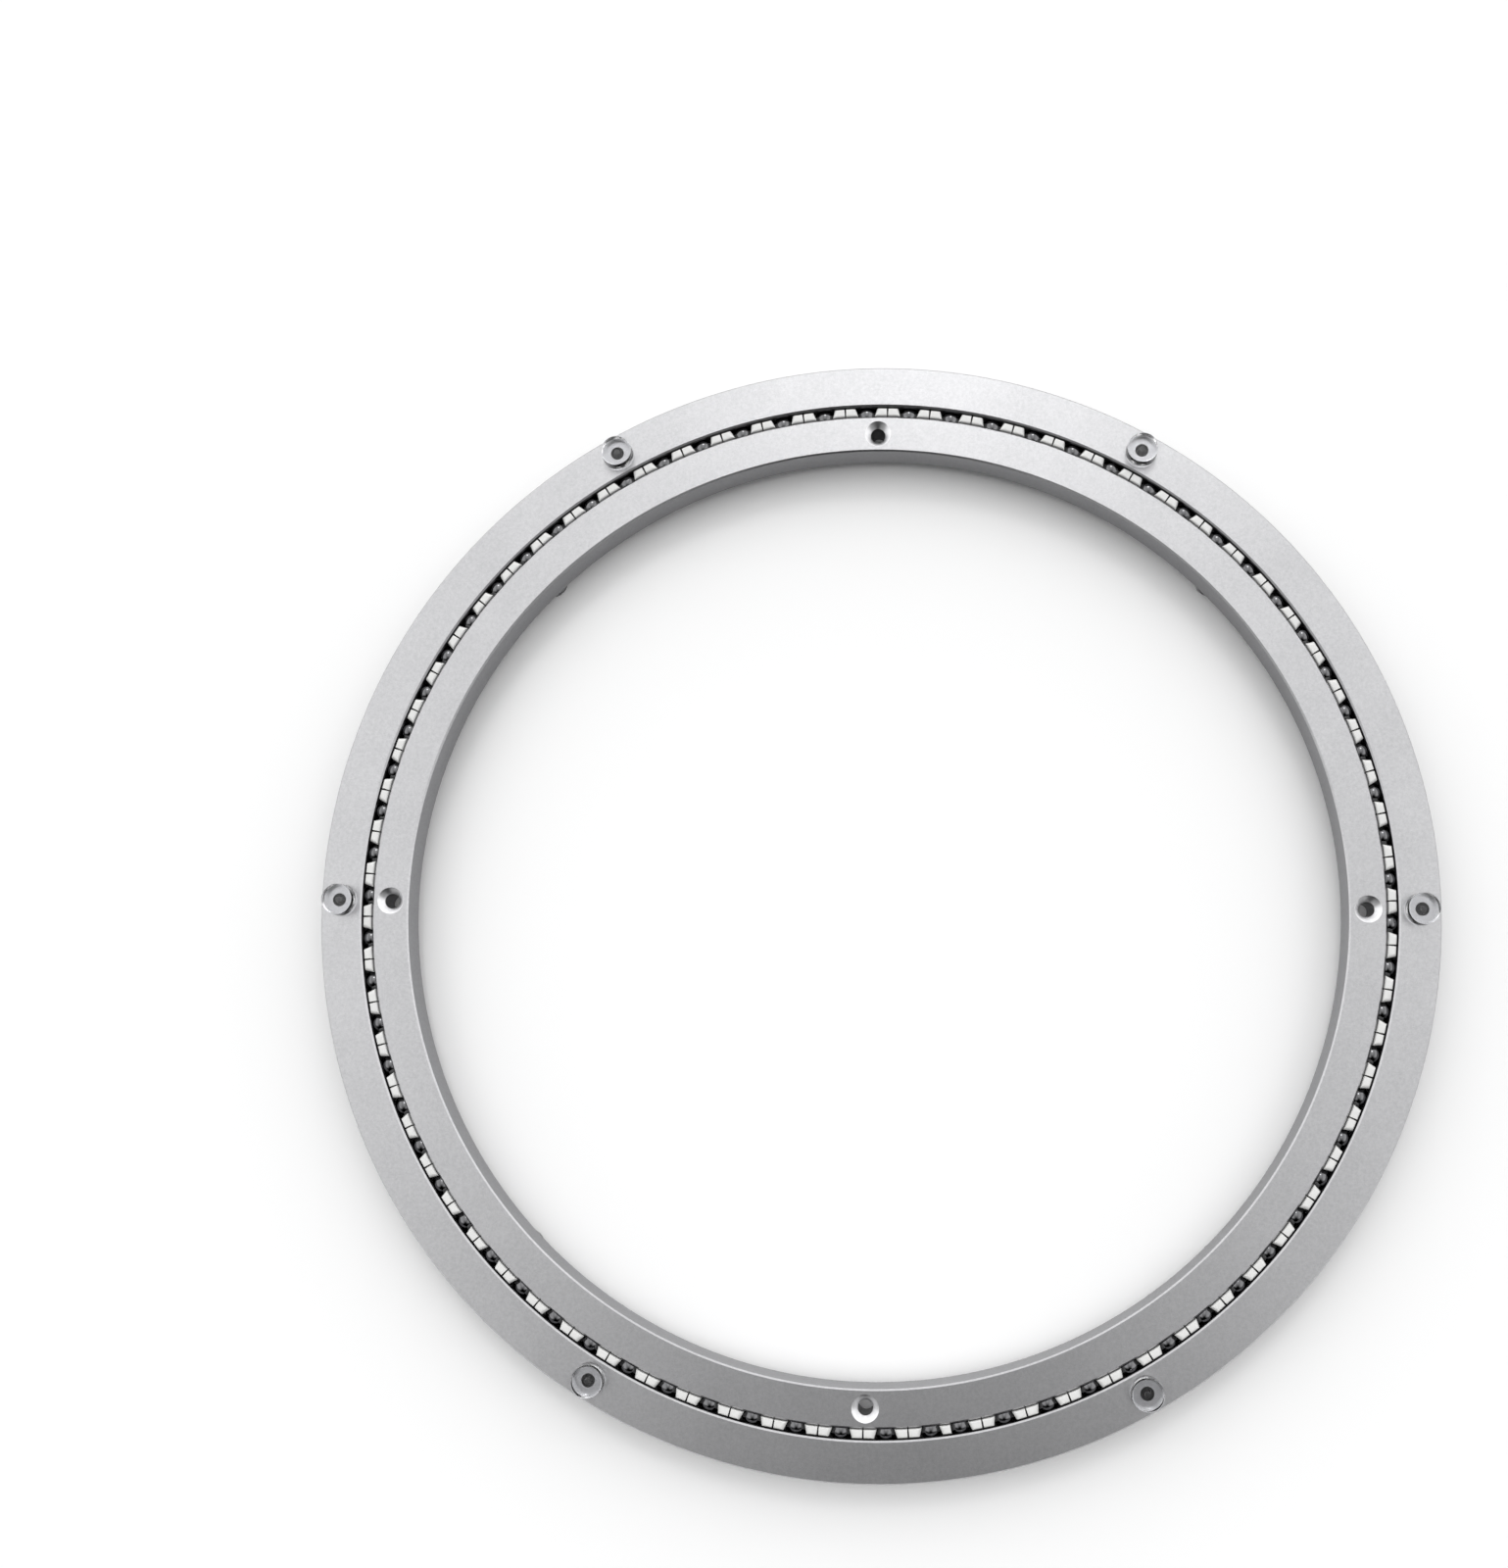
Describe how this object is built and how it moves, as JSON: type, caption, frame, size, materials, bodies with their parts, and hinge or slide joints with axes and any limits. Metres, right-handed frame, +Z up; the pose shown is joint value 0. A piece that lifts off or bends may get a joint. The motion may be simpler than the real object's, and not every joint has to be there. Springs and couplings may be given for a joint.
{
  "type": "lazy susan bearing",
  "caption": "Flat aluminium ring bearing for a turntable: an outer ring on soft pads turns on a caged row of steel balls round an inner ring with countersunk screw holes and soft feet.",
  "frame": {"origin": "where the turning axis meets the table, at the bottom of the feet", "axes": "+Z up along the turning axis; +X through the first pad and the first screw hole"},
  "size_m": [0.3, 0.3, 0.0155],
  "materials": {
    "satin_aluminium": "satin anodised",
    "white_nylon": "moulded, semi-matt",
    "bearing_steel": "polished",
    "clear_bumper": "clear, glossy"
  },
  "bodies": {
    "base": {"inner_ring": "satin_aluminium", "base_foot_1": "clear_bumper", "base_foot_2": "clear_bumper", "base_foot_3": "clear_bumper", "base_foot_4": "clear_bumper"},
    "turning_ring": {"outer_ring": "satin_aluminium", "top_pad_1": "clear_bumper", "top_pad_2": "clear_bumper", "top_pad_3": "clear_bumper", "top_pad_4": "clear_bumper", "top_pad_5": "clear_bumper", "top_pad_6": "clear_bumper"},
    "ball_row": {"ball_cage": "white_nylon", "steel_balls": "bearing_steel"}
  },
  "joints": [
    {"name": "ring_spin", "type": "hinge", "parent": "base", "child": "turning_ring", "pos_m": [0, 0, 0.00775], "axis": [0, 0, 1], "continuous": true},
    {"name": "cage_spin", "type": "hinge", "parent": "base", "child": "ball_row", "pos_m": [0, 0, 0.00775], "axis": [0, 0, 1], "continuous": true}
  ],
  "couplings": [
    {"joint": "cage_spin", "follows": "ring_spin", "ratio": 0.5077}
  ]
}
